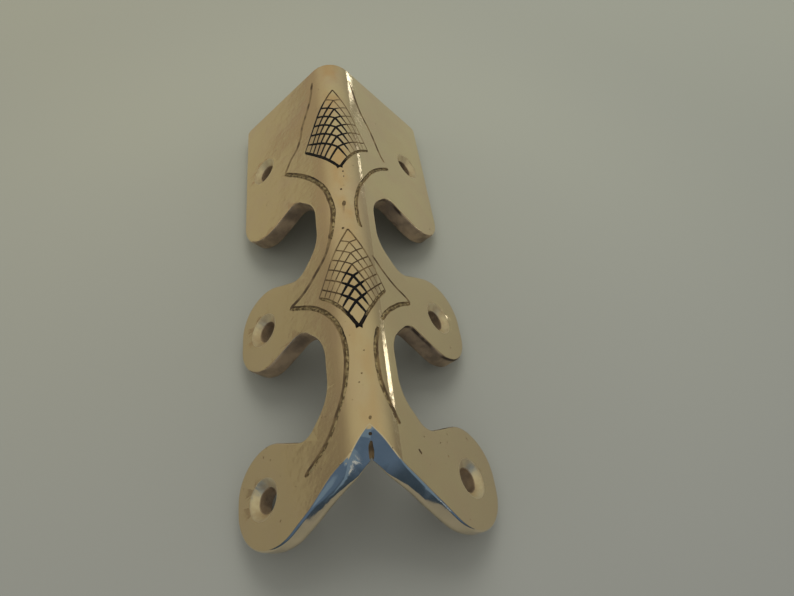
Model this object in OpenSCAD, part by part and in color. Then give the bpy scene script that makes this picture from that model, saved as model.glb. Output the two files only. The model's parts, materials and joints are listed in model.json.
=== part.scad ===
// Corner strap for a box or chest: one brass casting whose two flanges meet at a right angle
// along a rounded corner. It rests on the free edges of its flanges, with the corner on top.
// Origin: on the surface it rests on, under the middle of its bounding box.
// Axes: +Z up, through the corner; +Y along the corner, towards the square end.

/* [Angle] */
// Length of the casting along the corner, which the plain plate at the square end takes up
strap_length = 100; // [92:0.5:130]
// Width of each flange, from the sharp outer corner that the rounding removes
flange_width = 29; // [27.5:0.5:36]
// Thickness of the flanges
wall = 3.2; // [2:0.1:4]
// Outside radius of the rounded corner
corner_radius = 5.2; // [4.6:0.1:6.5]

/* [Gaps] */
// Width of the spine that is left beside each gap, from the sharp outer corner
spine_width = 7.8; // [7:0.1:9]
// Distance from the arched end to the middle of the gap beside the square end's plate
plate_gap = 53.8; // [52:0.1:56]
// Distance from the arched end to the middle of the gap beside the arched end's fin
fin_gap = 23.3; // [22.5:0.1:25]
// Length of each gap at its belly, its widest place
gap_length = 19.6; // [16:0.1:21]
// Distance of the belly from the sharp outer corner
gap_belly = 12.7; // [12.2:0.1:13.5]
// Radius of the gap's corners at the belly
belly_radius = 3; // [1.5:0.1:4]
// Radius of the gap's corners at the spine
spine_radius = 7; // [3:0.1:8]
// Angle by which the fins lean in over the mouth of each gap, in degrees
fin_lean = 21; // [10:1:24]
// Radius of the fins' tips beside the gaps
tip_radius = 6.9; // [4:0.1:8]

/* [Ends] */
// Radius of the free corners at the square end
square_corner = 1.2; // [0.4:0.1:6]
// Radius of the fins' tips at the arched end
end_tip_radius = 8.2; // [5:0.1:9]
// Angle of the arch near its foot, measured from square across the flange, in degrees
arch_foot_angle = 28.4; // [20:0.2:34]
// Angle of the arch near its crown, measured the same way, in degrees
arch_crown_angle = 54.5; // [40:0.5:58]
// Distance of the bend between those two stretches from the sharp outer corner
arch_bend = 4.9; // [3:0.1:6]
// Radius of that bend
arch_bend_radius = 9; // [2:0.5:12]

/* [Screw holes] */
// Diameter of the screw holes
screw_hole = 3.8; // [3:0.1:4.5]
// Diameter of the countersinks' rims
countersink_rim = 5.9; // [5.2:0.1:8]
// Included angle of the countersinks, in degrees
countersink_angle = 100; // [82:1:120]
// Distance from the square end to the first hole
first_hole = 19.3; // [8:0.1:26]
// Distance from the flange's free edge to the row of holes
hole_inset = 6.8; // [5:0.1:9]

/* [Hidden] */
$fn = 96;
past = 1;                                     // how far a cutter runs past what it cuts
flange_angle = 45;                            // each flange falls this far below level
inner_radius = corner_radius - wall;
corner_height = (flange_width + wall) * sin(flange_angle);
first_gap = strap_length - plate_gap;
second_gap = strap_length - fin_gap;
second_hole = (first_gap + second_gap) / 2;   // in the middle of the fin between the gaps
third_hole = strap_length - end_tip_radius;   // level with the centre of the end tip
hole_row = flange_width - hole_inset;
countersink_depth = (countersink_rim - screw_hole) / 2 / tan(countersink_angle / 2);

// Flange coordinates: u runs from the square end, v from the sharp outer corner across the
// flange, and n outwards, square to the flange. An outline is a list of [u, v, radius].

// The place at width v on a straight edge that passes through a point at an angle from square
function along(point, angle, v) = [point[0] + (v - point[1]) * tan(angle), v];

// The four corners of a gap's pocket, from its square end side to its other side
function pocket(middle) = [
    for (side = [-1, 1], place = side < 0 ? [1, 0] : [0, 1])
        place == 1
            ? [middle + side * gap_length / 2, gap_belly, belly_radius]
            : [middle + side * (gap_length / 2 - (gap_belly - spine_width)), spine_width,
               spine_radius]
];

// The sharp corner of the fin on one side of a gap
function fin_corner(middle, side) = concat(
    along([middle + side * gap_length / 2, gap_belly], -side * fin_lean, flange_width),
    [tip_radius]
);

// Where the arch's foot leaves the end tip, and the bend between its two stretches
foot_point = [third_hole, flange_width - end_tip_radius]
    + end_tip_radius * [cos(arch_foot_angle), -sin(arch_foot_angle)];
bend_point = along(foot_point, arch_foot_angle, arch_bend);

outline = concat(
    [[0, 0, 0], [0, flange_width, square_corner], fin_corner(first_gap, -1)],
    pocket(first_gap),
    [fin_corner(first_gap, 1), fin_corner(second_gap, -1)],
    pocket(second_gap),
    [
        fin_corner(second_gap, 1),
        concat(along(foot_point, arch_foot_angle, flange_width), [end_tip_radius]),
        concat(bend_point, [arch_bend_radius]),
        concat(along(bend_point, arch_crown_angle, 0), [0])
    ]
);

function flat(corner) = [corner[0], corner[1]];
function unit(vector) = vector / norm(vector);

// What the rounding of a corner takes off it, or fills in where the corner points inwards. It
// runs past the outline's own edges, so that no edge of one lies along an edge of the other.
module corner_sliver(before, corner, after) {
    radius = corner[2];
    to_before = unit(flat(before) - flat(corner));
    to_after = unit(flat(after) - flat(corner));
    half_angle = acos(to_before * to_after) / 2;
    to_centre = unit(to_before + to_after) * radius / sin(half_angle);
    tangent = radius / tan(half_angle);
    reach = 1 + past / radius;
    start = to_before * tangent - to_centre;
    end = to_after * tangent - to_centre;
    translate(flat(corner) + to_centre) difference() {
        polygon([start, start * reach, -to_centre * reach, end * reach, end]);
        circle(r = radius);
    }
}

// Positive where an outline that runs clockwise turns outwards at a corner
function turn(before, corner, after) =
    cross(flat(before) - flat(corner), flat(after) - flat(corner));

module slivers(corners, sign) {
    count = len(corners);
    for (i = [0 : count - 1]) {
        before = corners[(i + count - 1) % count];
        after = corners[(i + 1) % count];
        if (corners[i][2] > 0 && sign * turn(before, corners[i], after) > 0)
            corner_sliver(before, corners[i], after);
    }
}

module rounded_outline(corners) {
    difference() {
        union() {
            polygon([for (corner = corners) flat(corner)]);
            slivers(corners, -1);
        }
        slivers(corners, 1);
    }
}

// Puts something made in flange coordinates on the flange at +X
module on_flange()
    translate([0, strap_length / 2, corner_height]) rotate([0, flange_angle, 0])
        rotate([0, 0, -90]) children();

// Section through the angle, in v and n of one flange, wider than the outlines leave it
module angle_section()
    translate([corner_radius, -corner_radius]) difference() {
        union() {
            circle(r = corner_radius);
            square([flange_width - corner_radius + past, corner_radius]);
            translate([-corner_radius, corner_radius - flange_width - past])
                square([corner_radius, flange_width - corner_radius + past]);
        }
        circle(r = inner_radius);
        translate([0, -flange_width]) square([flange_width, flange_width + inner_radius]);
        translate([-inner_radius, -flange_width]) square([flange_width, flange_width]);
    }

module angle()
    on_flange() translate([-past, 0, 0]) rotate([90, 0, 90])
        linear_extrude(strap_length + 2 * past) angle_section();

// Everything outside the outline of the flange at +X, up to the plane where the flanges meet
module trimming()
    intersection() {
        on_flange() translate([0, 0, -corner_radius - past])
            linear_extrude(corner_radius + 2 * past) difference() {
                translate([-2 * past, -past])
                    square([strap_length + 4 * past, flange_width + 3 * past]);
                rounded_outline(outline);
            }
        translate([0, -strap_length, -strap_length]) cube(2 * strap_length);
    }

module countersunk_hole()
    rotate_extrude()
        polygon([
            [0, past], [countersink_rim / 2 + past * tan(countersink_angle / 2), past],
            [screw_hole / 2, -countersink_depth], [screw_hole / 2, -wall - past],
            [0, -wall - past]
        ]);

module flange_cuts() {
    trimming();
    for (place = [first_hole, second_hole, third_hole])
        on_flange() translate([place, hole_row, 0]) countersunk_hole();
}

module corner_casting()
    color([0.72, 0.58, 0.36]) difference() {
        angle();
        flange_cuts();
        mirror([1, 0, 0]) flange_cuts();
    }

corner_casting();
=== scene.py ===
# %% [markdown]
# # A cast brass corner strap
#
# The object is one brass casting: two flanges meet at a right angle, are cut into scalloped fins,
# and wrap the corner of a box or chest. The CAD model holds its true size. This lesson builds the
# same shape again as a mesh, with what a solid model leaves out: softly filed edges, a rounded and
# polished arched end, engraved lines with dark residue in them, and small casting pits.

# %% Load the frame
import json
import math

import bmesh
import bpy
from mathutils import Matrix, Vector, noise

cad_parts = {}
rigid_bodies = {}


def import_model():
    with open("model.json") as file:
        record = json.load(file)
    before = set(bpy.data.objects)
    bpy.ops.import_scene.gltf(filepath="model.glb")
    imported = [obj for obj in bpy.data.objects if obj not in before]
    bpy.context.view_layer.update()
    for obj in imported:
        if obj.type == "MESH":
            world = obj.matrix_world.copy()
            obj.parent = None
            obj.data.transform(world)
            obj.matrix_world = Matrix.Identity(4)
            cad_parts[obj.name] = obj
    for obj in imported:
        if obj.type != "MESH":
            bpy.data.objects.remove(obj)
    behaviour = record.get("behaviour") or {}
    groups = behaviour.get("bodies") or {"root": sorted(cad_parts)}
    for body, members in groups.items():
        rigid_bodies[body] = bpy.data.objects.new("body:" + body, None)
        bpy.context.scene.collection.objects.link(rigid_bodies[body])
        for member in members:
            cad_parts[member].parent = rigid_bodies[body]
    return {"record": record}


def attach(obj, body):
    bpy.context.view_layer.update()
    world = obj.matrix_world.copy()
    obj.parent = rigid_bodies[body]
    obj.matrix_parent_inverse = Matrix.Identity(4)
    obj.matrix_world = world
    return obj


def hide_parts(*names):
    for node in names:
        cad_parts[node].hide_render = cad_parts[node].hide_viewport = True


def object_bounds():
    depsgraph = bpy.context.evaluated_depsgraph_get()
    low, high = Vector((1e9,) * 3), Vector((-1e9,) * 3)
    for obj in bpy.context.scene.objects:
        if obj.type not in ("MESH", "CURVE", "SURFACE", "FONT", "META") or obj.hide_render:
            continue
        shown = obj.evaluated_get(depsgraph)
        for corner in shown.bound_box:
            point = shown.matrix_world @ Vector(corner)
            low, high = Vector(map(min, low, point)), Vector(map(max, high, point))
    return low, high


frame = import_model()
cad_box = [list(corner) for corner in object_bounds()]
low, high = (Vector(corner) * 1000 for corner in cad_box)
print("CAD box in mm:", [round(size, 1) for size in high - low])

# %% [markdown]
# ## The camera first
#
# The strap is seen from above its arched end, with the square end furthest away. A camera's own
# axes are its right, its up and its backward direction, so they are the columns of its matrix.

# %% Camera
camera = bpy.data.objects.new("camera", bpy.data.cameras.new("camera"))
bpy.context.scene.collection.objects.link(camera)
camera.data.lens = 28.0
camera.data.sensor_width = 36.0
camera.data.clip_start = 0.005
camera_place = Vector((-0.005895, -0.07563, 0.09774))
camera_right = Vector((0.98982, -0.12838, 0.06149))
camera_up = Vector((0.06404, 0.78742, 0.61308))
camera_back = camera_right.cross(camera_up).normalized()
turned = Matrix((camera_right, camera_up, camera_back)).transposed().to_4x4()
camera.matrix_world = Matrix.Translation(camera_place) @ turned
bpy.context.scene.camera = camera
print("camera height above the table:", round(camera_place.z, 3))

# %% [markdown]
# ## Sizes
#
# All the modelling is done in millimetres, because some of Blender's mesh tools compare lengths
# with fixed small numbers that suit parts of this size. The finished mesh is scaled to metres.
# The length, the width and the places of the screw holes come from the CAD model. CREST_AXIS is
# the height of the line that the rounded corner turns about, and PAST is how far a cutting tool
# reaches beyond what it cuts.

# %% Sizes in millimetres
LENGTH = high.y - low.y
WALL = 3.2
CORNER_RADIUS = 5.2
INNER_RADIUS = CORNER_RADIUS - WALL
SLOPE = math.radians(45)
FLANGE_WIDTH = high.x / math.sin(SLOPE)
CORNER_HEIGHT = (FLANGE_WIDTH + WALL) * math.sin(SLOPE)
CREST_AXIS = CORNER_HEIGHT - CORNER_RADIUS * math.sqrt(2)
HALF_ARC = CORNER_RADIUS * SLOPE
PAST = 1.0
print("flange width:", round(FLANGE_WIDTH, 2), "height of the sharp corner:", round(CORNER_HEIGHT, 2))


# %% [markdown]
# ## Two ways to say where something is
#
# A place on a flange is given by u, the distance from the square end, v, the distance from the
# sharp outer corner, and n, the height above the flange's face. `flange_matrix` puts such a shape
# on the flange at +X. The engraving runs over the rounded corner, so it is drawn on the outer skin
# laid out flat, where w is the distance from the crest along the skin, and `wrap` folds it round.

# %% Flange coordinates and the unfolded skin
def flange_matrix():
    turned = Matrix.Rotation(SLOPE, 4, "Y") @ Matrix.Rotation(-math.pi / 2, 4, "Z")
    return Matrix.Translation((0, LENGTH / 2, CORNER_HEIGHT)) @ turned


def on_skin(u, w, lift=0.0):
    side = 1 if w >= 0 else -1
    across = abs(w)
    if across > HALF_ARC:
        place = flange_matrix() @ Vector((u, across - HALF_ARC + CORNER_RADIUS, lift))
        return Vector((side * place.x, place.y, place.z))
    angle = across / CORNER_RADIUS
    radius = CORNER_RADIUS + lift
    height = CREST_AXIS + radius * math.cos(angle)
    return Vector((side * radius * math.sin(angle), LENGTH / 2 - u, height))


def depth_in_skin(point):
    """How far a point lies below the ideal outer skin."""
    across = abs(point.x)
    v = (across + CORNER_HEIGHT - point.z) * math.sin(SLOPE)
    if v > CORNER_RADIUS:
        return (CORNER_HEIGHT - point.z - across) * math.cos(SLOPE)
    return CORNER_RADIUS - math.hypot(across, point.z - CREST_AXIS)


# %% [markdown]
# ## Small helpers
#
# A bmesh is turned into an object once it is whole. A modifier is applied by asking Blender for
# the evaluated mesh, which works without an open window. Every mesh carries the same six finishes
# in the same order, so that a Boolean cut leaves its tool's own finish in the wall it makes. The
# noise gets a seed, because its vectors would otherwise differ from run to run.

# %% Helpers that make objects and apply modifiers
noise.seed_set(1)
FINISHES = (
    "polished_brass", "groove_residue", "worn_groove", "cast_brass", "turned_brass", "arch_brass",
)
POLISHED, RESIDUE, WORN, CAST, TURNED, ARCH = range(6)
for finish_name in FINISHES:
    bpy.data.materials.new(finish_name)


def smooth_step(value, start, end):
    share = min(max((value - start) / (end - start), 0), 1)
    return share * share * (3 - 2 * share)


def new_object(name, bm, finish=POLISHED):
    mesh = bpy.data.meshes.new(name)
    for finish_name in FINISHES:
        mesh.materials.append(bpy.data.materials[finish_name])
    if finish != POLISHED:
        for face in bm.faces:
            face.material_index = finish
    bm.to_mesh(mesh)
    bm.free()
    made = bpy.data.objects.new(name, mesh)
    bpy.context.scene.collection.objects.link(made)
    return made


def apply_modifiers(target):
    seen = target.evaluated_get(bpy.context.evaluated_depsgraph_get())
    finished = bpy.data.meshes.new_from_object(seen)
    target.modifiers.clear()
    target.data = finished


def modify(target, kind, **settings):
    modifier = target.modifiers.new(kind.lower(), kind)
    for name, value in settings.items():
        setattr(modifier, name, value)
    apply_modifiers(target)


def turn_outwards(bm):
    """Point every face outwards; a tool that is inside out would leave a plug and no hole."""
    bmesh.ops.recalc_face_normals(bm, faces=bm.faces[:])
    if bm.calc_volume(signed=True) < 0:
        bmesh.ops.reverse_faces(bm, faces=bm.faces[:])


def triangulate(target):
    bm = bmesh.new()
    bm.from_mesh(target.data)
    bmesh.ops.triangulate(bm, faces=[face for face in bm.faces if len(face.verts) > 3])
    bm.to_mesh(target.data)
    bm.free()


def cut(target, tool, operation="DIFFERENCE"):
    if operation == "DIFFERENCE":
        triangulate(target)
    modify(target, "BOOLEAN", operation=operation, solver="MANIFOLD", object=tool)
    bpy.data.objects.remove(tool)


# %% [markdown]
# ## Outlines with round corners
#
# An outline is a short list of sharp corners, each with a radius. A single vertex is set where the
# rounding starts, and `bmesh.ops.spin` turns it about the rounding's centre, which leaves an arc
# of edges behind it. Straight edges join one arc to the next.

# %% Trace an outline
ARC_STEP = math.radians(4)


def traced_face(bm, corners):
    ends = []
    for index, (x, y, radius) in enumerate(corners):
        corner = Vector((x, y))
        if radius == 0:
            vertex = bm.verts.new((x, y, 0))
            ends.append((vertex, vertex))
            continue
        before = Vector(corners[index - 1][:2]) - corner
        after = Vector(corners[(index + 1) % len(corners)][:2]) - corner
        before.normalize()
        after.normalize()
        half_angle = before.angle(after) / 2
        centre = corner + (before + after).normalized() * radius / math.sin(half_angle)
        start = corner + before * radius / math.tan(half_angle)
        turn = math.copysign(math.pi - 2 * half_angle, before.cross(after))
        first = bm.verts.new((start.x, start.y, 0))
        spun = bmesh.ops.spin(
            bm, geom=[first], cent=(centre.x, centre.y, 0), axis=(0, 0, -1), angle=turn,
            steps=max(2, round(abs(turn) / max(ARC_STEP, 0.2 / radius))),
        )
        last = next(part for part in spun["geom_last"] if isinstance(part, bmesh.types.BMVert))
        ends.append((first, last))
    for index, (first, _) in enumerate(ends):
        bm.edges.new((ends[index - 1][1], first))
    return bmesh.ops.contextual_create(bm, geom=bm.edges[:])["faces"][0]


def extrude(bm, face, step):
    made = bmesh.ops.extrude_face_region(bm, geom=[face])
    bmesh.ops.translate(
        bm, vec=step, verts=[part for part in made["geom"] if isinstance(part, bmesh.types.BMVert)]
    )
    turn_outwards(bm)


# %% [markdown]
# ## The outline of a flange
#
# Both flanges share one outline: a plain plate, two gaps with waisted mouths, and a last fin whose
# end rises in an arch to the crest. The casting is made by hand, so its two sides differ a little:
# the left one is slightly narrower. A gap is a pocket with slanting shoulders, and its sides lean
# in towards the free edge.

# %% The flange's outline
GAP_MIDDLES = (LENGTH - 53.8, LENGTH - 23.3)
GAP_LENGTH = 19.6
GAP_BELLY = 12.7
SPINE_WIDTH = 7.8
FIN_LEAN = math.radians(21)
TIP_RADIUS = 6.9
END_TIP_RADIUS = 8.2
SQUARE_CORNER = 1.2
ARCH_FOOT = math.radians(28.4)
ARCH_CROWN = math.radians(54.5)
ARCH_BEND = 4.9
BELLY_RADIUS = 3
SPINE_RADIUS = 7
BEND_RADIUS = 9


def along(point, angle, v):
    """The place at width v on a straight edge through a point, at an angle from square."""
    return (point[0] + (v - point[1]) * math.tan(angle), v)


def flange_outline(width):
    corners = [(0, 0, 0), (0, width, SQUARE_CORNER)]
    for middle in GAP_MIDDLES:
        near, far = middle - GAP_LENGTH / 2, middle + GAP_LENGTH / 2
        shoulder = GAP_BELLY - SPINE_WIDTH
        corners += [
            (*along((near, GAP_BELLY), FIN_LEAN, width), TIP_RADIUS),
            (near, GAP_BELLY, BELLY_RADIUS),
            (near + shoulder, SPINE_WIDTH, SPINE_RADIUS),
            (far - shoulder, SPINE_WIDTH, SPINE_RADIUS),
            (far, GAP_BELLY, BELLY_RADIUS),
            (*along((far, GAP_BELLY), -FIN_LEAN, width), TIP_RADIUS),
        ]
    foot = (
        LENGTH - END_TIP_RADIUS + END_TIP_RADIUS * math.cos(ARCH_FOOT),
        FLANGE_WIDTH - END_TIP_RADIUS - END_TIP_RADIUS * math.sin(ARCH_FOOT),
    )
    bend = along(foot, ARCH_FOOT, ARCH_BEND)
    corners += [
        (*along(foot, ARCH_FOOT, width), END_TIP_RADIUS),
        (*bend, BEND_RADIUS),
        (*along(bend, ARCH_CROWN, 0), 0),
    ]
    return corners


# %% [markdown]
# ## The body
#
# One half of the angle is a long bar with a hooked section. The outline, extruded square to the
# flange, cuts it to shape: a Boolean intersection keeps what both have in common. Straight edges of
# the outline are divided first and nudged by a smooth noise, because a filed casting is nowhere
# perfectly straight. The nudge fades out near the crest, where the two halves have to meet exactly.

# %% Build the body from two halves
FILED = 0.07
LEFT_NARROWER = 0.7
STRAIGHT_PIECE = 1.2
SEAM_WELD = 0.07


def filed_outline(side):
    bm = bmesh.new()
    face = traced_face(bm, flange_outline(FLANGE_WIDTH - (LEFT_NARROWER if side < 0 else 0)))
    for edge in [edge for edge in bm.edges if edge.calc_length() > 1.25 * STRAIGHT_PIECE]:
        if max(vertex.co.x for vertex in edge.verts) > PAST:
            cuts = round(edge.calc_length() / STRAIGHT_PIECE)
            bmesh.ops.subdivide_edges(bm, edges=[edge], cuts=cuts)
    for vertex in bm.verts:
        if vertex.co.x > PAST and vertex.co.y > PAST:
            seed = Vector((vertex.co.x, vertex.co.y, 40 * side))
            nudge = noise.noise_vector(seed * 0.25) + 0.4 * noise.noise_vector(seed * 0.8)
            vertex.co.xy += FILED * smooth_step(vertex.co.y, 5, 9) * nudge.xy
    bmesh.ops.translate(bm, vec=(0, 0, PAST), verts=bm.verts[:])
    extrude(bm, bm.faces[0], (0, 0, -CORNER_RADIUS - 2 * PAST))
    bm.transform(flange_matrix())
    return new_object("outline", bm)


def half_angle():
    bm = bmesh.new()
    far = FLANGE_WIDTH + PAST
    face = traced_face(bm, [
        (0, 0, CORNER_RADIUS), (far, 0, 0), (far, -WALL, 0),
        (WALL, -WALL, INNER_RADIUS), (WALL, -far, 0), (0, -far, 0),
    ])
    extrude(bm, face, (0, 0, LENGTH + 2 * PAST))
    section_to_flange = Matrix(((0, 0, 1, -PAST), (1, 0, 0, 0), (0, 1, 0, 0), (0, 0, 0, 1)))
    bm.transform(flange_matrix() @ section_to_flange)
    split = bmesh.ops.bisect_plane(
        bm, geom=bm.verts[:] + bm.edges[:] + bm.faces[:], plane_co=(0, 0, 0), plane_no=(1, 0, 0),
        clear_inner=True,
    )
    rim = [part for part in split["geom_cut"] if isinstance(part, bmesh.types.BMEdge)]
    bmesh.ops.contextual_create(bm, geom=rim)
    turn_outwards(bm)
    return new_object("half angle", bm)


def strap_body():
    whole = bmesh.new()
    for side in (1, -1):
        half = half_angle()
        cut(half, filed_outline(side), "INTERSECT")
        bm = bmesh.new()
        bm.from_mesh(half.data)
        bpy.data.objects.remove(half)
        seam = [face for face in bm.faces if all(abs(v.co.x) < 0.001 for v in face.verts)]
        bmesh.ops.delete(bm, geom=seam, context="FACES")
        bmesh.ops.scale(bm, vec=(side, 1, 1), verts=bm.verts[:])
        part = bpy.data.meshes.new("half")
        bm.to_mesh(part)
        bm.free()
        whole.from_mesh(part)
    bmesh.ops.remove_doubles(whole, verts=whole.verts[:], dist=SEAM_WELD)
    turn_outwards(whole)
    print("open edges in the body:", sum(not edge.is_manifold for edge in whole.edges))
    return new_object("corner_strap", whole)


strap = strap_body()
print("body:", len(strap.data.polygons), "faces")

# %% [markdown]
# ## The leaning face of the arch
#
# The maker dressed the arched end at a slant, so that seen from above the face looks out from under
# its upper edge. Its lower rim therefore slides outwards along the strap, most at the crown, and
# not at all at the two tips: the lean starts where a point is NO_LEAN away from the sharp corner,
# and is whole at FULL_LEAN. Every inner surface runs along the strap, so it stays true.

# %% Lean the arch face
GAP_END = LENGTH / 2 - GAP_MIDDLES[1] - GAP_LENGTH / 2
ARCH_LEAN = 1.0
NO_LEAN, FULL_LEAN = 22, 12


def width_at(point):
    """The distance of a point from the sharp corner, measured across a flange."""
    return (abs(point.x) + CORNER_HEIGHT - point.z) * math.sin(SLOPE)


bm = bmesh.new()
bm.from_mesh(strap.data)
leaned = 0
for vertex in bm.verts:
    on_arch = any(face.normal.y < -0.45 for face in vertex.link_faces) and vertex.co.y < GAP_END
    if on_arch and depth_in_skin(vertex.co) > 0.02:
        lean = ARCH_LEAN * smooth_step(width_at(vertex.co), NO_LEAN, FULL_LEAN)
        vertex.co.y -= lean * depth_in_skin(vertex.co) / WALL
        leaned += 1
bm.to_mesh(strap.data)
bm.free()
print("leaned points:", leaned)


# %% [markdown]
# ## Filed edges and the polished arch
#
# Every edge of the real casting is broken by a file, the outer rim a little more than the inner
# one. A Bevel modifier reads a weight from each edge, so that one pass gives both widths. It makes
# its clean rings of points only while the width stays the same from edge to edge.
#
# The arched end is dressed and polished. Its lower rim is a soft nose, which grows wider from the
# crown towards the two tips. Its upper rim stays crisp, but for a broad brow on the left leg. The
# remembered sharp corners make this simple: each ring of new points is scaled about the corner it
# came from, by that corner's own factor.

# %% Bevel the rims, then widen the bevel of the arch
SHARP_EDGE = 0.6
RIM_ROUNDING = 0.4
INNER_ROUNDING = 0.3
BROW_AT_CROWN = 0.15
BROW_AT_TIPS = 0.3
BROW_ON_LEFT = 1.3
NOSE_AT_CROWN = 0.7
NOSE_AT_TIPS = 1.7


def rounding_of(edge):
    """The width of an edge's bevel, by the skin that it belongs to."""
    if edge.calc_face_angle_signed() < SHARP_EDGE:
        return 0
    middle = (edge.verts[0].co + edge.verts[1].co) / 2
    return RIM_ROUNDING if depth_in_skin(middle) < WALL / 2 else INNER_ROUNDING


def widening_at(corner):
    """How many times wider the bevel becomes at a corner of the arch."""
    across = width_at(corner)
    if depth_in_skin(corner) < WALL / 2:
        brow = BROW_AT_CROWN + (BROW_AT_TIPS - BROW_AT_CROWN) * smooth_step(across, 4, 8)
        if corner.x < 0:
            share = smooth_step(across, 3.3, 7) * smooth_step(across, 14, 7.5)
            brow = max(brow, BROW_ON_LEFT * share)
        return brow / RIM_ROUNDING
    nose = NOSE_AT_CROWN + (NOSE_AT_TIPS - NOSE_AT_CROWN) * smooth_step(across, 4, 11)
    share = smooth_step(across, 3.9, 7) * smooth_step(across, 28, 22)
    return 1 + (nose / INNER_ROUNDING - 1) * share


bm = bmesh.new()
bm.from_mesh(strap.data)
weight = bm.edges.layers.float.new("bevel_weight_edge")
sharp_corners = set()
for edge in bm.edges:
    edge[weight] = rounding_of(edge)
    arch_wall = any(face.normal.y < -0.3 for face in edge.link_faces)
    if edge[weight] and arch_wall and edge.verts[0].co.y < GAP_END:
        sharp_corners.update(vertex.co.copy().freeze() for vertex in edge.verts)
bm.to_mesh(strap.data)
bm.free()
modify(
    strap, "BEVEL", width=1, affect="EDGES", segments=5, profile=0.5, material=-1,
    limit_method="WEIGHT", use_clamp_overlap=False, miter_outer="MITER_SHARP",
)

widened = 0
for vertex in strap.data.vertices:
    if vertex.co.y < GAP_END:
        corner = min(sharp_corners, key=lambda place: (place - vertex.co).length)
        if (corner - vertex.co).length < 2 * RIM_ROUNDING:
            vertex.co = corner.lerp(vertex.co, widening_at(corner))
            widened += 1
print("with filed edges:", len(strap.data.polygons), "faces;", widened, "points of the arch moved")

# %% [markdown]
# ## A grid of short faces
#
# The casting is now made of very large flat faces and of long thin facets on the crest. A cut
# inside a large face leaves a face with a hole in it, and a cut through a thin one leaves
# splinters; both shade badly. Planes across and along the strap divide all of them first.

# %% Divide the skin
SLICE = 2.5
CUTS_BESIDE_CREST = (7, 10.5, 14, 17)
slices = range(1, round(LENGTH / SLICE))
planes = [((0, number * SLICE - LENGTH / 2, 0), (0, 1, 0)) for number in slices]
planes += [((side * x, 0, 0), (1, 0, 0)) for x in CUTS_BESIDE_CREST for side in (1, -1)]
bm = bmesh.new()
bm.from_mesh(strap.data)
for place, direction in planes:
    everything = bm.verts[:] + bm.edges[:] + bm.faces[:]
    bmesh.ops.bisect_plane(bm, geom=everything, plane_co=place, plane_no=direction, dist=0.01)
bm.to_mesh(strap.data)
bm.free()
print("divided:", len(strap.data.polygons), "faces")

# %% [markdown]
# ## Countersunk holes
#
# A screw hole's cutter is turned on a lathe, so it is a profile spun round an axis: a straight
# bore, a cone for the screw's head, and a small flare that softens the rim. The CAD model's mounts
# say where each bore is and which way it points.

# %% Drill and countersink the holes
BORE_RADIUS = 1.9
RIM_RADIUS = 2.95
CONE_ANGLE = math.radians(50)
HOLE_STEPS = 56


def hole_cutter(mount):
    axis = Vector(mount["axis"])
    centre = Vector(mount["pos_m"]) * 1000
    to_face = depth_in_skin(centre)
    cone = (RIM_RADIUS - BORE_RADIUS) / math.tan(CONE_ANGLE)
    profile = [
        (0, 1.0), (RIM_RADIUS + 1.9, 1.0), (RIM_RADIUS + 0.32, 0.02), (RIM_RADIUS + 0.1, -0.035),
        (RIM_RADIUS - 0.12, -0.17), (BORE_RADIUS + 0.08, -cone), (BORE_RADIUS, -cone - 0.1),
        (BORE_RADIUS, -WALL - PAST), (0, -WALL - PAST),
    ]
    bm = bmesh.new()
    points = [bm.verts.new((radius, 0, height)) for radius, height in profile]
    edges = [bm.edges.new(pair) for pair in zip(points, points[1:])]
    bmesh.ops.spin(
        bm, geom=points + edges, cent=(0, 0, 0), axis=(0, 0, 1), angle=2 * math.pi, steps=HOLE_STEPS,
        use_merge=True,
    )
    bmesh.ops.remove_doubles(bm, verts=bm.verts[:], dist=0.001)
    turn_outwards(bm)
    turned = axis.to_track_quat("Z", "Y").to_matrix().to_4x4()
    for face in bm.faces:
        deep = face.calc_center_median().z < -cone
        face.material_index = CAST if deep else TURNED
    bm.transform(Matrix.Translation(centre + axis * to_face) @ turned)
    return new_object("hole", bm)


for mount in frame["record"]["mounts"]:
    if mount["kind"] == "bore":
        cut(strap, hole_cutter(mount))
print("with holes:", len(strap.data.polygons), "faces")

# %% [markdown]
# ## Engraved lines
#
# The pattern was cut by hand after casting: straight lines, deep scallops round each fin, and two
# lozenges filled with a lattice. Each stroke is drawn as a flat curve on the unfolded skin, with a
# radius at every point, so the tool bites less where the stroke tapers. A closed profile swept
# along the curve is the shape of the tool: a graver cuts a thin V, and a gouge leaves a ragged
# ridge between two dark valleys. Real cuts in the mesh catch the light at any angle.

# %% Collect the strokes
GRAVER = {"profile": ((-0.34, 0.24), (0, -0.22), (0.34, 0.24)), "jitter": 0.035}
GOUGE = {"profile": ((-0.6, 0.24), (-0.3, -0.3), (0, -0.14), (0.3, -0.3), (0.6, 0.24)), "jitter": 0.06}
strokes = {"graver": [], "gouge": []}


def stroke(tool, points, width=1.0, tips=(0.4, 0.4)):
    """Add a stroke through (u, w) points; its first and last radius are cut down by tips."""
    places = [Vector(point) for point in points]
    places.insert(1, places[0].lerp(places[1], 0.2))
    places.insert(-1, places[-1].lerp(places[-2], 0.2))
    radii = [width] * len(places)
    radii[0] *= tips[0]
    radii[-1] *= tips[1]
    strokes[tool].append(list(zip(places, radii)))


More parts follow.
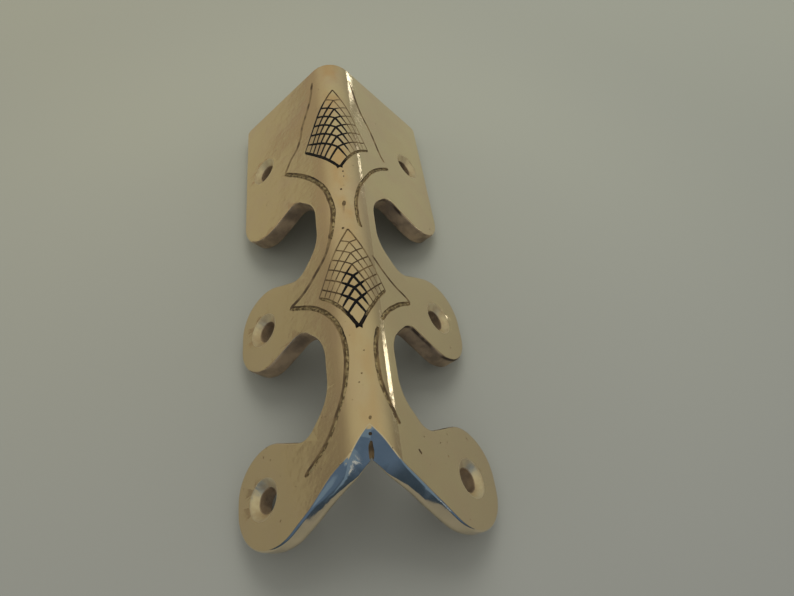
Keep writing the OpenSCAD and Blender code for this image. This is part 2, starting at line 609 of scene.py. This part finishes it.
stroke("graver", [(4.2, -4.7), (9.5, -5.7), (13.2, -7.2), (16.3, -8.6), (19.5, -9.4), (21.5, -10.4),
                  (23.3, -12.4), (26.1, -14.3)], 2.2)
stroke("graver", [(4.2, 4.6), (12.9, 6.9), (17.6, 9.4), (23.8, 11.8), (25, 12.6)], 1.95)
stroke("gouge", [(26.1, -14.3), (30.3, -9.9), (35.2, -5.9), (39.6, -3.55), (42.8, -2.7), (45.6, -2.3),
                 (49.1, -2.7), (52.3, -3.4)], 1.1, tips=(0.7, 0.8))
stroke("graver", [(51.8, -3.3), (54.1, -4.25), (55.9, -5.6), (57.5, -7.5), (59, -9.35), (60.1, -11.4),
                  (60.9, -14)], 2.2, tips=(1, 0.5))
stroke("gouge", [(60.9, -14), (63.6, -9.15), (65.4, -6.9), (67.8, -4.8), (70.5, -3.3), (74.4, -2.4),
                 (79.5, -2.7), (82.5, -3.5), (85, -4.9), (88, -7), (90.4, -10), (91.6, -12)], 0.95,
       tips=(0.6, 0.4))
stroke("gouge", [(26.2, 13.6), (28.6, 10.7), (31.6, 7.9), (35.1, 5.6), (38.9, 3.5), (41.9, 2.5),
                 (44.2, 2.1), (46.5, 2.05), (48.9, 2.2), (50.1, 2.5)], 0.8, tips=(0.6, 0.4))
stroke("graver", [(55.8, 4.2), (58.1, 6.6), (60, 9.3), (61.5, 12.5), (62, 12.9)], 1.7)
stroke("gouge", [(62, 12.9), (63.7, 9.9), (65.6, 7.5), (67.8, 5.4), (69.2, 4.45)], 0.9, tips=(0.6, 0.5))
stroke("gouge", [(71.2, 3.25), (74.8, 2.4), (78.3, 2.3), (81.5, 2.6), (84.2, 3.6), (86.4, 4.7),
                 (87.2, 5.2)], 0.9, tips=(0.6, 0.3))
stroke("graver", [(90.1, 8.7), (90.7, 9.25)], 1.3, tips=(0.7, 0.7))

# %% [markdown]
# ## Two lozenges with a lattice
#
# A lozenge has its apex towards the square end. One set of lines runs side by side with its upper
# edges, the other bends across from edge to edge. Where the engraver went over the lattice twice,
# the lines are wide and full of dark residue, so a stroke's radius grows near that spot.

# %% Draw the lattices
ROWS = ((0.21, 0.15), (0.36, 0.27), (0.5, 0.39), (0.63, 0.51), (0.76, 0.63), (0.89, 0.76))
LOZENGES = (
    {"apex": (9.9, 0), "corners": ((24.9, -8.1), (25.5, 7.5)), "foot": (34.7, -0.2),
     "dark": (25.0, -2.4), "dark_size": (12, 4.6), "sag": (0.15, 0.9)},
    {"apex": (50.9, 0), "corners": ((63.0, -6.9), (62.4, 6.4)), "foot": (71.6, 0.1),
     "dark": (65.2, -0.1), "dark_size": (5.6, 2.2), "sag": (0.9, 0.5)},
)


def draw_lozenge(lozenge):
    apex, foot, dark = (Vector(lozenge[name]) for name in ("apex", "foot", "dark"))
    for corner, sag in zip(lozenge["corners"], lozenge["sag"]):
        corner = Vector(corner)
        inward = (apex - (corner + foot) / 2).normalized() * sag

        def lower_edge(share):
            return corner.lerp(foot, share) + inward * 4 * share * (1 - share)

        def engrave(start, end, width):
            points = [start.lerp(end, share) for share in (0, 0.2, 0.4, 0.6, 0.8, 1)]
            path = []
            for point in points:
                off = point - dark
                spot = math.hypot(off.x / lozenge["dark_size"][0], off.y / lozenge["dark_size"][1])
                path.append((point, width * (1 + 0.85 * smooth_step(spot, 1.15, 0.7))))
            strokes["graver"].append(path)

        for edge_share, centre_share in ROWS:
            centre = apex.lerp(foot, centre_share)
            engrave(apex.lerp(corner, edge_share), centre, 0.85)
            engrave(centre, lower_edge(centre_share), 0.78)
        engrave(apex, corner, 0.95)
        stroke("gouge", [lower_edge(share) for share in (0, 0.25, 0.5, 0.75, 1)], 0.64, tips=(0.5, 1.9))


for lozenge in LOZENGES:
    draw_lozenge(lozenge)
print("strokes:", {tool: len(drawn) for tool, drawn in strokes.items()})

# %% [markdown]
# ## Cut the strokes
#
# A curve's bevel object sweeps the tool's profile along each spline. The swept mesh is jittered a
# little, because a hand tool skips and slips, and every vertex is then carried from the flat
# drawing to the folded skin. Each stroke is cut by itself, so strokes may cross one another.

# %% Sweep, fold and cut
def flat_curve(name, splines, cyclic=False):
    curve = bpy.data.curves.new(name, "CURVE")
    curve.dimensions = "3D"
    curve.twist_mode = "Z_UP"
    curve.resolution_u = 5
    curve.use_fill_caps = True
    for points in splines:
        spline = curve.splines.new("POLY" if cyclic else "BEZIER")
        held = spline.points if cyclic else spline.bezier_points
        held.add(len(points) - 1)
        spline.use_cyclic_u = cyclic
        for point, (place, radius) in zip(held, points):
            point.co = (*place, 0, 1) if cyclic else (*place, 0)
            point.radius = radius
            if not cyclic:
                point.handle_left_type = point.handle_right_type = "AUTO"
    made = bpy.data.objects.new(name, curve)
    bpy.context.scene.collection.objects.link(made)
    return made


def swept_stroke(tool, drawn):
    profile = flat_curve("profile", [[(point, 1) for point in tool["profile"]]], cyclic=True)
    path = flat_curve("stroke", [drawn])
    path.data.bevel_mode = "OBJECT"
    path.data.bevel_object = profile
    seen = path.evaluated_get(bpy.context.evaluated_depsgraph_get())
    bm = bmesh.new()
    bm.from_mesh(bpy.data.meshes.new_from_object(seen))
    for spent in (path, profile):
        bpy.data.objects.remove(spent)
    bmesh.ops.remove_doubles(bm, verts=bm.verts[:], dist=0.0005)
    for face in bm.faces:
        inside = all(vertex.co.z < 0 for vertex in face.verts)
        face.material_index = WORN if inside and len(tool["profile"]) > 3 else RESIDUE
    for vertex in bm.verts:
        flat = vertex.co.copy()
        slip = noise.noise_vector(flat * 1.3) + noise.noise_vector(flat * 3.1)
        vertex.co = on_skin(flat.x + tool["jitter"] * slip.x, flat.y + tool["jitter"] * slip.y,
                            flat.z + 0.4 * tool["jitter"] * slip.z)
    turn_outwards(bm)
    return new_object("engraving", bm)


for name, tool in (("graver", GRAVER), ("gouge", GOUGE)):
    for drawn in strokes[name]:
        cut(strap, swept_stroke(tool, drawn))
print("engraved:", len(strap.data.polygons), "faces")

# %% [markdown]
# ## Casting pits
#
# Small gas bubbles in the metal were opened when the crest was filed, and they hold old polish. A
# shrinkage crack lies in the fold of the arched end, under a small round pit. Flattened balls cut
# them. A row below holds a pit's u and w, half its length and half its width.

# %% Cut the pits
PITS = (
    (44.5, -0.15, 0.75, 0.34), (40.8, -0.4, 0.26, 0.22), (35.9, 0.3, 0.22, 0.16),
    (37.3, 0.35, 0.16, 0.14), (50.6, -0.8, 0.3, 0.26), (75.9, 0.4, 0.16, 0.13),
    (79.8, -0.3, 0.18, 0.15), (81.2, -0.8, 0.14, 0.13), (86.9, 0.2, 0.34, 0.22),
    (57.4, 3.4, 0.14, 0.12), (8.3, -3.0, 0.13, 0.12), (93.6, -2.6, 0.15, 0.12),
    (46.8, -16.6, 0.15, 0.13), (89.5, 15.9, 0.2, 0.14), (12.4, 12.0, 0.15, 0.12),
)
PIT_WAY = Vector((0.25, 1, 0))
ARCH_CROWN_PLACE = Vector((0, -37.9, CREST_AXIS + CORNER_RADIUS))
ARCH_FOLD = Vector((0, -0.785, -0.62))
FOLD_PITS = ((1.3, 0.28, 0.28), (3.7, 1.5, 0.46))


def ball(place, axis, length, width):
    bm = bmesh.new()
    bmesh.ops.create_icosphere(bm, subdivisions=2, radius=1)
    for vertex in bm.verts:
        vertex.co *= 1 + 0.25 * noise.noise(vertex.co * 1.4 + place)
    bmesh.ops.scale(bm, vec=(width, width, length), verts=bm.verts[:])
    bm.transform(Matrix.Translation(place) @ axis.to_track_quat("Z", "Y").to_matrix().to_4x4())
    turn_outwards(bm)
    return new_object("pit", bm, RESIDUE)


for u, w, half_length, half_width in PITS:
    cut(strap, ball(on_skin(u, w, 0.03), PIT_WAY, half_length, half_width))
for down_fold, half_length, half_width in FOLD_PITS:
    place = ARCH_CROWN_PLACE + ARCH_FOLD * down_fold
    cut(strap, ball(place, ARCH_FOLD, half_length, half_width))
print("with pits:", len(strap.data.polygons), "faces")

# %% [markdown]
# ## Which surface has which finish
#
# The tools left their finish in the walls they cut. The rest is told apart by where a face lies:
# the skin and its filed rims are polished, the dressed face of the arched end is polished most,
# and the walls of the gaps and the whole inside are as they came out of the sand.

# %% Give every face its finish
EDGE_BAND = 2.2


def untouched_finish(face):
    middle = face.calc_center_median()
    depth = depth_in_skin(middle)
    if depth > WALL - 0.05:
        return CAST
    if middle.y < GAP_END and face.normal.y < -0.2 and depth > 0.02:
        return ARCH
    skin_way = Vector((math.copysign(math.sin(SLOPE), middle.x), 0, math.cos(SLOPE)))
    flange_edge = FLANGE_WIDTH - EDGE_BAND - (LEFT_NARROWER if middle.x <= 0 else 0)
    in_gap = HALF_ARC < width_at(middle) < flange_edge and middle.y < LENGTH / 2 - 0.5
    return CAST if in_gap and face.normal.dot(skin_way) < 0.8 else POLISHED


bm = bmesh.new()
bm.from_mesh(strap.data)
for face in bm.faces:
    face.smooth = True
    if face.material_index == POLISHED:
        face.material_index = untouched_finish(face)
counts = [sum(face.material_index == index for face in bm.faces) for index in range(len(FINISHES))]
bm.to_mesh(strap.data)
bm.free()
print("faces by finish:", dict(zip(FINISHES, counts)))

# %% [markdown]
# ## To true size, with clean shading
#
# The mesh shrinks from millimetres to metres. Faces that meet at a wide angle share a smooth
# normal, edges sharper than that stay crisp, and weighted normals let the large flat faces decide
# the shading beside a narrow bevel. Each face counts by its area and by its angle at the point, so
# that the way a flat wall happens to be divided leaves no creases.

# %% Scale and shade
strap.data.transform(Matrix.Scale(0.001, 4))
strap.data.set_sharp_from_angle(angle=math.radians(38))
modify(strap, "WEIGHTED_NORMAL", mode="FACE_AREA_WITH_ANGLE", keep_sharp=True, weight=50)
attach(strap, "root")
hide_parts("corner_casting")


# %% [markdown]
# ## A small language for node trees
#
# A `Wire` is an output socket that can be used in arithmetic: `1 - mask` adds a Math node. Every
# other node comes from `Tree.add`, which takes the node's type, its settings and its sockets.

# %% Wires and trees
class Wire:
    def __init__(self, tree, socket):
        self.tree = tree
        self.socket = socket

    def maths(self, operation, first, second):
        return self.tree.add("ShaderNodeMath", {"operation": operation}, {0: first, 1: second})

    def __add__(self, other):
        return self.maths("ADD", self, other)

    def __sub__(self, other):
        return self.maths("SUBTRACT", self, other)

    def __rsub__(self, other):
        return self.maths("SUBTRACT", other, self)

    def __mul__(self, other):
        return self.maths("MULTIPLY", self, other)

    def higher(self, other):
        return self.maths("MAXIMUM", self, other)

    def lower(self, other):
        return self.maths("MINIMUM", self, other)

    __radd__ = __add__
    __rmul__ = __mul__


class Tree:
    def __init__(self, owner):
        owner.use_nodes = True
        self.nodes = owner.node_tree.nodes
        self.links = owner.node_tree.links
        self.nodes.clear()

    def add(self, kind, settings=None, inputs=None, output=0):
        node = self.nodes.new(kind)
        for name, value in (settings or {}).items():
            setattr(node, name, value)
        for name, value in (inputs or {}).items():
            if isinstance(value, Wire):
                self.links.new(value.socket, node.inputs[name])
            else:
                node.inputs[name].default_value = value
        return Wire(self, node.outputs[output]) if len(node.outputs) else node

    def place(self):
        return self.add("ShaderNodeTexCoord", output="Object")

    def axes(self, vector):
        first = self.add("ShaderNodeSeparateXYZ", inputs={0: vector})
        return [Wire(self, socket) for socket in first.socket.node.outputs]

    def speckle(self, scale, detail=2.0, stretch=(1, 1, 1), rough=0.5):
        """A cloudy noise from 0 to 1; scale counts its clouds per metre."""
        stretched = self.add("ShaderNodeMapping", inputs={"Vector": self.place(), "Scale": stretch})
        sockets = {"Vector": stretched, "Scale": scale, "Detail": detail, "Roughness": rough}
        return self.add("ShaderNodeTexNoise", inputs=sockets)

    def fade(self, value, start, end):
        sockets = {"Value": value, "From Min": start, "From Max": end}
        return self.add("ShaderNodeMapRange", {"interpolation_type": "SMOOTHSTEP"}, sockets)

    def mix(self, share, first, second):
        sockets = {0: share, 6: first, 7: second}
        return self.add("ShaderNodeMix", {"data_type": "RGBA"}, sockets, output=2)

    def bump(self, height, distance):
        return self.add("ShaderNodeBump", inputs={"Height": height, "Distance": distance})

    def surface(self, **sockets):
        inputs = {name.replace("_", " "): value for name, value in sockets.items()}
        shader = self.add("ShaderNodeBsdfPrincipled", inputs=inputs)
        self.add("ShaderNodeOutputMaterial", inputs={"Surface": shader})


def colour(red, green, blue):
    return (red, green, blue, 1.0)


# %% [markdown]
# ## Polished brass
#
# Old polished brass is a metal with a soft gloss. Its colour drifts between pink, where the zinc
# has leached out, and yellow. Fine brown freckles sit in the metal, the roughness changes in slow
# clouds, and long, very shallow waves left by hand filing bend the reflections. The file also left
# a faint ridge where the rounded corner runs into each flange: a bump that stops at a fixed
# distance from the crest, RIDGE, makes the highlight there a thin line. The plain square end has a
# wider, softer one.

# %% Finish: polished brass
RIDGE = 0.0041
RIDGE_BOW = 29000
SQUARE_END_RISE = 0.95
brass = Tree(bpy.data.materials["polished_brass"])
side_way, length_way, _ = brass.axes(brass.place())
drift = brass.fade(brass.speckle(85, 3.0), 0.36, 0.66)
blush = brass.fade(brass.speckle(190, 4.0, rough=0.65), 0.42, 0.72)
# Painted reflection: the left side of the metal is painted warmer, for the warm room it reflects.
left_warm_reflection = brass.fade(side_way, 0.001, -0.004)
from_crest = side_way.higher(0 - side_way)
stain = brass.fade(brass.speckle(150, 3.0, (1, 0.6, 1)), 0.42, 0.60)
stain = brass.fade(from_crest, 0.0026, 0.0006) * stain
# The metal is made darker towards the arched end.
darker_to_arch_end = brass.fade(length_way, 0.010, -0.012)
metal = brass.mix(drift, colour(0.86, 0.70, 0.455), colour(0.90, 0.75, 0.46))
metal = brass.mix(left_warm_reflection * 0.7, metal, colour(0.91, 0.68, 0.38))
metal = brass.mix(blush * 0.45, metal, colour(0.86, 0.63, 0.43))
metal = brass.mix(stain * 0.6, metal, colour(0.82, 0.52, 0.24))
metal = brass.mix(darker_to_arch_end * 0.5, metal, colour(0.66, 0.52, 0.32))
freckles = brass.fade(brass.speckle(1500, 1.0), 0.735, 0.80)
metal = brass.mix(freckles * 0.55, metal, colour(0.20, 0.12, 0.05))
wear = brass.speckle(240, 3.0, (1, 0.35, 1))
waves = brass.speckle(60, 1.0, (1, 0.5, 1)) + brass.speckle(420, 2.0) * 0.12
square_end = brass.fade(length_way, 0.030, 0.040)
bowed = from_crest.lower(RIDGE)
waves = waves + brass.fade(from_crest, 0.001, 0.0056) * square_end * SQUARE_END_RISE
waves = waves + bowed * bowed * (1 - square_end) * RIDGE_BOW
brass.surface(
    Base_Color=metal, Metallic=1.0, Roughness=0.07 + wear * 0.12 + freckles * 0.2,
    Normal=brass.bump(waves, 0.0004),
)

# %% [markdown]
# ## Dressed end, turned holes, cast surface
#
# The arched end is polished to a mirror. The countersinks are clean turned metal, and the sand-cast
# parts are brown, dull and grainy. On the right side a patchy dark band runs under the rim of the gaps.

# %% Finishes: arch, holes and cast surface
arch = Tree(bpy.data.materials["arch_brass"])
arch_cloud = arch.fade(arch.speckle(500, 3.0), 0.35, 0.7)
arch.surface(
    Base_Color=arch.mix(arch_cloud, colour(0.76, 0.64, 0.45), colour(0.82, 0.68, 0.48)),
    Metallic=1.0, Roughness=0.05 + arch_cloud * 0.05,
    Normal=arch.bump(arch.speckle(260, 2.0), 0.00003),
)

turned = Tree(bpy.data.materials["turned_brass"])
turned_cloud = turned.fade(turned.speckle(700, 3.0), 0.35, 0.7)
turned.surface(
    Base_Color=turned.mix(turned_cloud, colour(0.80, 0.68, 0.45), colour(0.70, 0.56, 0.36)),
    Metallic=1.0, Roughness=0.42 + turned_cloud * 0.14,
    Normal=turned.bump(turned.speckle(900, 2.0, (1, 1, 3)), 0.0001),
)

cast = Tree(bpy.data.materials["cast_brass"])
grain = cast.speckle(2200, 3.0, rough=0.7)
patches = cast.fade(cast.speckle(260, 3.0), 0.35, 0.65)
cast_x, _, cast_z = cast.axes(cast.place())
under_skin = (CORNER_HEIGHT * 0.001 - cast_z - cast_x.higher(0 - cast_x)) * math.cos(SLOPE)
# A patchy dark band just under the rim of the gaps, on the right side only.
dark_rim_band = cast.fade(under_skin, 0.0008, 0.0004) * cast.fade(cast.speckle(330, 2.0), 0.40, 0.58)
dark_rim_band = dark_rim_band * cast.fade(cast_x, -0.004, 0.004)
sand = cast.mix(patches, colour(0.25, 0.185, 0.125), colour(0.50, 0.37, 0.235))
cast.surface(
    Base_Color=cast.mix(dark_rim_band, sand, colour(0.08, 0.055, 0.038)),
    Metallic=0.75, Roughness=0.42 + grain * 0.25,
    Normal=cast.bump(grain, 0.0002),
)

# %% [markdown]
# ## Residue in the engraving
#
# Polish dries in a cut as a crust. It is brown where it is thin and nearly black where it is
# thick: in the upper lozenge left of the crest, and in the middle and foot of the lower one. In
# wide grooves a worn ridge of bare metal shows through the crust.

# %% Finishes: residue and worn groove
def thick_residue(tree):
    """1 where the crust is thick and black, 0 where it is thin and brown."""
    across, along_strap, _ = tree.axes(tree.place())
    masks = []
    for lozenge in LOZENGES:
        middle = on_skin(*lozenge["dark"]) * 0.001
        reach_along, reach_across = (size * 0.001 for size in lozenge["dark_size"])
        sideways = (across - middle.x) * (1 / reach_across)
        lengthways = (along_strap - middle.y) * (1 / reach_along)
        away = tree.add("ShaderNodeCombineXYZ", inputs={0: sideways, 1: lengthways})
        spot = tree.add("ShaderNodeVectorMath", {"operation": "LENGTH"}, {0: away}, output="Value")
        foot = on_skin(*lozenge["foot"]) * 0.001
        to_foot = tree.add("ShaderNodeVectorMath", {"operation": "DISTANCE"},
                           {0: tree.place(), 1: foot}, output="Value")
        masks.append(tree.fade(spot, 1.2, 0.75).higher(tree.fade(to_foot, 0.0036, 0.002)))
    return masks[0].higher(masks[1])


residue = Tree(bpy.data.materials["groove_residue"])
crust = residue.speckle(1600, 3.0, rough=0.7)
blotch = residue.fade(residue.speckle(420, 2.0), 0.40, 0.62)
thick = residue.fade(thick_residue(residue) + crust * 0.5, 0.55, 0.95)
brown = residue.mix(blotch, colour(0.24, 0.165, 0.070), colour(0.11, 0.07, 0.030))
residue.surface(
    Base_Color=residue.mix(thick, brown, colour(0.010, 0.009, 0.009)),
    Metallic=0.15, Roughness=0.55 + crust * 0.2, Normal=residue.bump(crust, 0.0001),
)

worn = Tree(bpy.data.materials["worn_groove"])
flecks = worn.fade(worn.speckle(1300, 3.0, rough=0.65), 0.42, 0.58)
worn_thick = worn.fade(thick_residue(worn), 0.3, 0.8)
ridge = worn.mix(flecks, colour(0.14, 0.095, 0.040), colour(0.42, 0.32, 0.15))
worn.surface(
    Base_Color=worn.mix(worn_thick, ridge, colour(0.018, 0.013, 0.010)),
    Metallic=0.5, Roughness=0.5, Normal=worn.bump(flecks, 0.0001),
)

# %% [markdown]
# ## The room
#
# The strap stands on a pale table. Metal shows what surrounds it, so the room matters as much as
# the finish: camera and reflections see a pale grey-beige room, while plain white light does the
# lighting. One soft lamp stands behind and above, and throws the shadow forwards.

# %% Table
TABLE_HALF = 2.5
bm = bmesh.new()
bmesh.ops.create_grid(bm, x_segments=1, y_segments=1, size=TABLE_HALF)
table = new_object("table", bm)
table.data.materials.clear()
table.data.materials.append(bpy.data.materials.new("table_top"))
top = Tree(bpy.data.materials["table_top"])
table_x, table_y, _ = top.axes(top.place())
cloth = top.fade(top.speckle(25, 3.0), 0.3, 0.7)
# Painted shade: the table is painted darker towards the near end, where the lamp behind falls off.
painted_shade_near = top.fade(table_y, 0.12, -0.14)
rightness = top.fade(table_x, -0.10, 0.12)
table_colour = top.mix(rightness, colour(0.365, 0.36, 0.27), colour(0.355, 0.362, 0.29))
table_colour = top.mix(painted_shade_near, table_colour, colour(0.255, 0.258, 0.235))
# Painted shade: a vignette, darker away from the centre.
off_centre = top.add("ShaderNodeVectorMath", {"operation": "LENGTH"}, {0: top.place()}, output="Value")
table_colour = top.mix(top.fade(off_centre, 0.06, 0.13) * 0.16, table_colour, colour(0.15, 0.15, 0.14))
table_colour = top.mix(cloth * 0.06, table_colour, colour(0.30, 0.30, 0.28))
top.surface(Base_Color=table_colour, Roughness=0.9, Specular_IOR_Level=0.1)
print("table:", 2 * TABLE_HALF, "m wide")

# %% World
world = bpy.data.worlds.new("room")
bpy.context.scene.world = world
room = Tree(world)
east, north, up = room.axes(room.add("ShaderNodeTexCoord", output="Generated"))
wall_left, wall_right = colour(0.28, 0.255, 0.205), colour(0.27, 0.265, 0.225)
walls = room.mix(room.fade(east, -0.6, 0.6), wall_left, wall_right)
walls = room.mix(room.fade(north, 0.7, 0.2), walls, colour(0.19, 0.18, 0.155))
seen = room.mix(room.fade(up, 0.0, 0.9), walls, colour(0.47, 0.46, 0.37))
ray = room.add("ShaderNodeLightPath", output="Is Camera Ray")
glossy_ray = Wire(room, ray.socket.node.outputs["Is Glossy Ray"])
transmission_ray = Wire(room, ray.socket.node.outputs["Is Transmission Ray"])
seen_ray = ray.higher(glossy_ray).higher(transmission_ray)
light = room.add("ShaderNodeBackground", inputs={0: colour(1, 1, 1), 1: 0.72})
view = room.add("ShaderNodeBackground", inputs={0: seen, 1: 1.0})
chosen = room.add("ShaderNodeMixShader", inputs={0: seen_ray, 1: light, 2: view})
room.add("ShaderNodeOutputWorld", inputs={0: chosen})

# %% Lamp
lamp_place = Vector((0.05, 0.45, 0.75))
lamp = bpy.data.objects.new("ceiling_lamp", bpy.data.lights.new("ceiling_lamp", "AREA"))
lamp.data.size = 0.5
lamp.data.energy = 2.5
aim = (-lamp_place).to_track_quat("-Z", "Y").to_matrix().to_4x4()
lamp.matrix_world = Matrix.Translation(lamp_place) @ aim
lamp.visible_glossy = False
bpy.context.scene.collection.objects.link(lamp)
print("lamp distance in m:", round(lamp_place.length, 2))

# %% [markdown]
# ## Things that only the metal sees
#
# A mirror-bright face is only as lively as what it reflects. Cards that are hidden from the camera
# and from every other ray give the arched end a blue cloth to reflect, paler above a fold and with a
# thin painted highlight along the fold's edge, and give the rounded corner bright windows.

# %% Reflection cards
def reflection_card(name, bm, glow, tint_of):
    """A glowing card; tint_of makes its colour in the card's own node tree."""
    card = new_object(name, bm)
    card.data.materials.clear()
    card.data.materials.append(bpy.data.materials.new(name))
    for ray_kind in ("camera", "diffuse", "transmission", "volume_scatter", "shadow"):
        setattr(card, "visible_" + ray_kind, False)
    tree = Tree(bpy.data.materials[name])
    shine = tree.add("ShaderNodeEmission", inputs={0: tint_of(tree), 1: glow})
    tree.add("ShaderNodeOutputMaterial", inputs={0: shine})


def standing_sheet(bm, foot, head, centre, degrees, steps):
    """Turn an upright line about a vertical axis, which leaves a bent sheet."""
    ends = [bm.verts.new(foot), bm.verts.new(head)]
    bmesh.ops.spin(
        bm, geom=ends + [bm.edges.new(ends)], cent=centre, axis=(0, 0, 1),
        angle=math.radians(degrees), steps=steps,
    )


# %% Blue cloth
HEM = (-0.0559, -0.042, 0.0035)
COLLAR = (-0.2389, -0.0483, 0.20)
CLOTH_TURN = 162
FOLD_RISE = 0.7
FOLD_BEND = 2.83


def cloth_tint(tree):
    """Dark blue at the hem, paler above a fold, with a thin painted highlight along the fold's edge."""
    across, _, height = tree.axes(tree.place())
    upwards = tree.fade(height, 0.002, 0.035)
    tint = tree.mix(upwards, colour(0.033, 0.055, 0.095), colour(0.08, 0.14, 0.27))
    from_fold = height - (across * FOLD_RISE - across * across * FOLD_BEND)
    paler = tree.fade(from_fold, 0.0044, 0.0050) * tree.fade(across, 0.002, 0.008)
    paler = paler.higher(tree.fade(height, 0.065, 0.10))
    tint = tree.mix(paler, tint, colour(0.14, 0.23, 0.39))
    # Painted highlight: a thin bright line along the fold's edge, which the arch face shows as a glint.
    edge = tree.fade(from_fold, 0.0042, 0.0045) * tree.fade(from_fold, 0.0050, 0.0047)
    edge = edge * tree.fade(across, 0.016, 0.024) * tree.fade(across, 0.073, 0.066)
    return tree.mix(edge, tint, colour(0.9, 1, 1.1))


bm = bmesh.new()
standing_sheet(bm, HEM, COLLAR, (0, -0.04, 0), CLOTH_TURN, 40)
print("cloth:", len(bm.faces), "faces")
reflection_card("blue_cloth", bm, 1.0, cloth_tint)

# %% Windows
WINDOWS = ((57.5, 60.5), (50, 51), (25, 32))
WINDOW_AWAY = 0.6
SILL, LINTEL = 0.028, 0.048
bm = bmesh.new()
for start, end in WINDOWS:
    x, y = WINDOW_AWAY * math.cos(math.radians(start)), WINDOW_AWAY * math.sin(math.radians(start))
    standing_sheet(bm, (x, y, SILL), (x, y, LINTEL), (0, 0, 0), end - start, 4)
print("windows:", len(bm.faces), "faces")
reflection_card("windows", bm, 4.0, lambda tree: colour(0.95, 0.98, 1))

# %% [markdown]
# ## Finish
#
# The colours are shown with the Standard view transform.

bpy.context.scene.view_settings.view_transform = "Standard"
